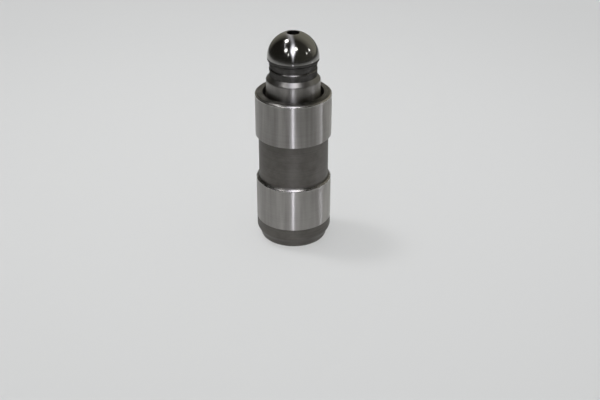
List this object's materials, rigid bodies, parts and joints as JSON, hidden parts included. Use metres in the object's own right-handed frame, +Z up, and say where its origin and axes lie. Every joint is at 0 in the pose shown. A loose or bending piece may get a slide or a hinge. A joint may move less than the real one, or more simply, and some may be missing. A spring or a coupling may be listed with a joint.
{
  "type": "valve lifter",
  "caption": "Hydraulic valve lifter: a ground cylindrical body with an oil groove and a sprung plunger whose drilled ball head carries a finger follower.",
  "frame": {"origin": "centre of the body's flat base, the face it stands on", "axes": "+Z up along the lifter's axis towards the ball head; the oil feed hole in the groove faces +Y"},
  "size_m": [0.012, 0.012, 0.0348],
  "materials": {
    "ground_steel": "centreless-ground lands, dark satin oil groove and foot",
    "polished_steel": "mirror-polished ball, dark satin neck, ground shank",
    "plunger_steel": "fine ground",
    "pressed_steel": "pressed sheet, oiled",
    "bearing_steel": "polished bearing ball",
    "spring_wire": "drawn spring wire, oiled"
  },
  "bodies": {
    "housing": {"lifter_body": "ground_steel", "retaining_ring": "spring_wire", "return_spring": "spring_wire"},
    "lower_plunger": {"pressure_plunger": "plunger_steel", "ball_cage": "pressed_steel", "check_spring": "spring_wire"},
    "head": {"ball_plunger": "polished_steel"},
    "valve": {"check_ball": "bearing_steel"}
  },
  "joints": [
    {"name": "plunger_stroke", "type": "slide", "parent": "housing", "child": "lower_plunger", "axis": [0, 0, 1], "range_m": [-0.0025, 0], "stiffness_N_per_m": 1500, "springref_m": 0.003, "deforming": ["return_spring"]},
    {"name": "head_spin", "type": "hinge", "parent": "lower_plunger", "child": "head", "pos_m": [0, 0, 0], "axis": [0, 0, 1], "continuous": true},
    {"name": "check_lift", "type": "slide", "parent": "lower_plunger", "child": "valve", "axis": [0, 0, 1], "range_m": [-0.0003, 0], "stiffness_N_per_m": 50, "springref_m": 0.0005, "deforming": ["check_spring"]}
  ]
}
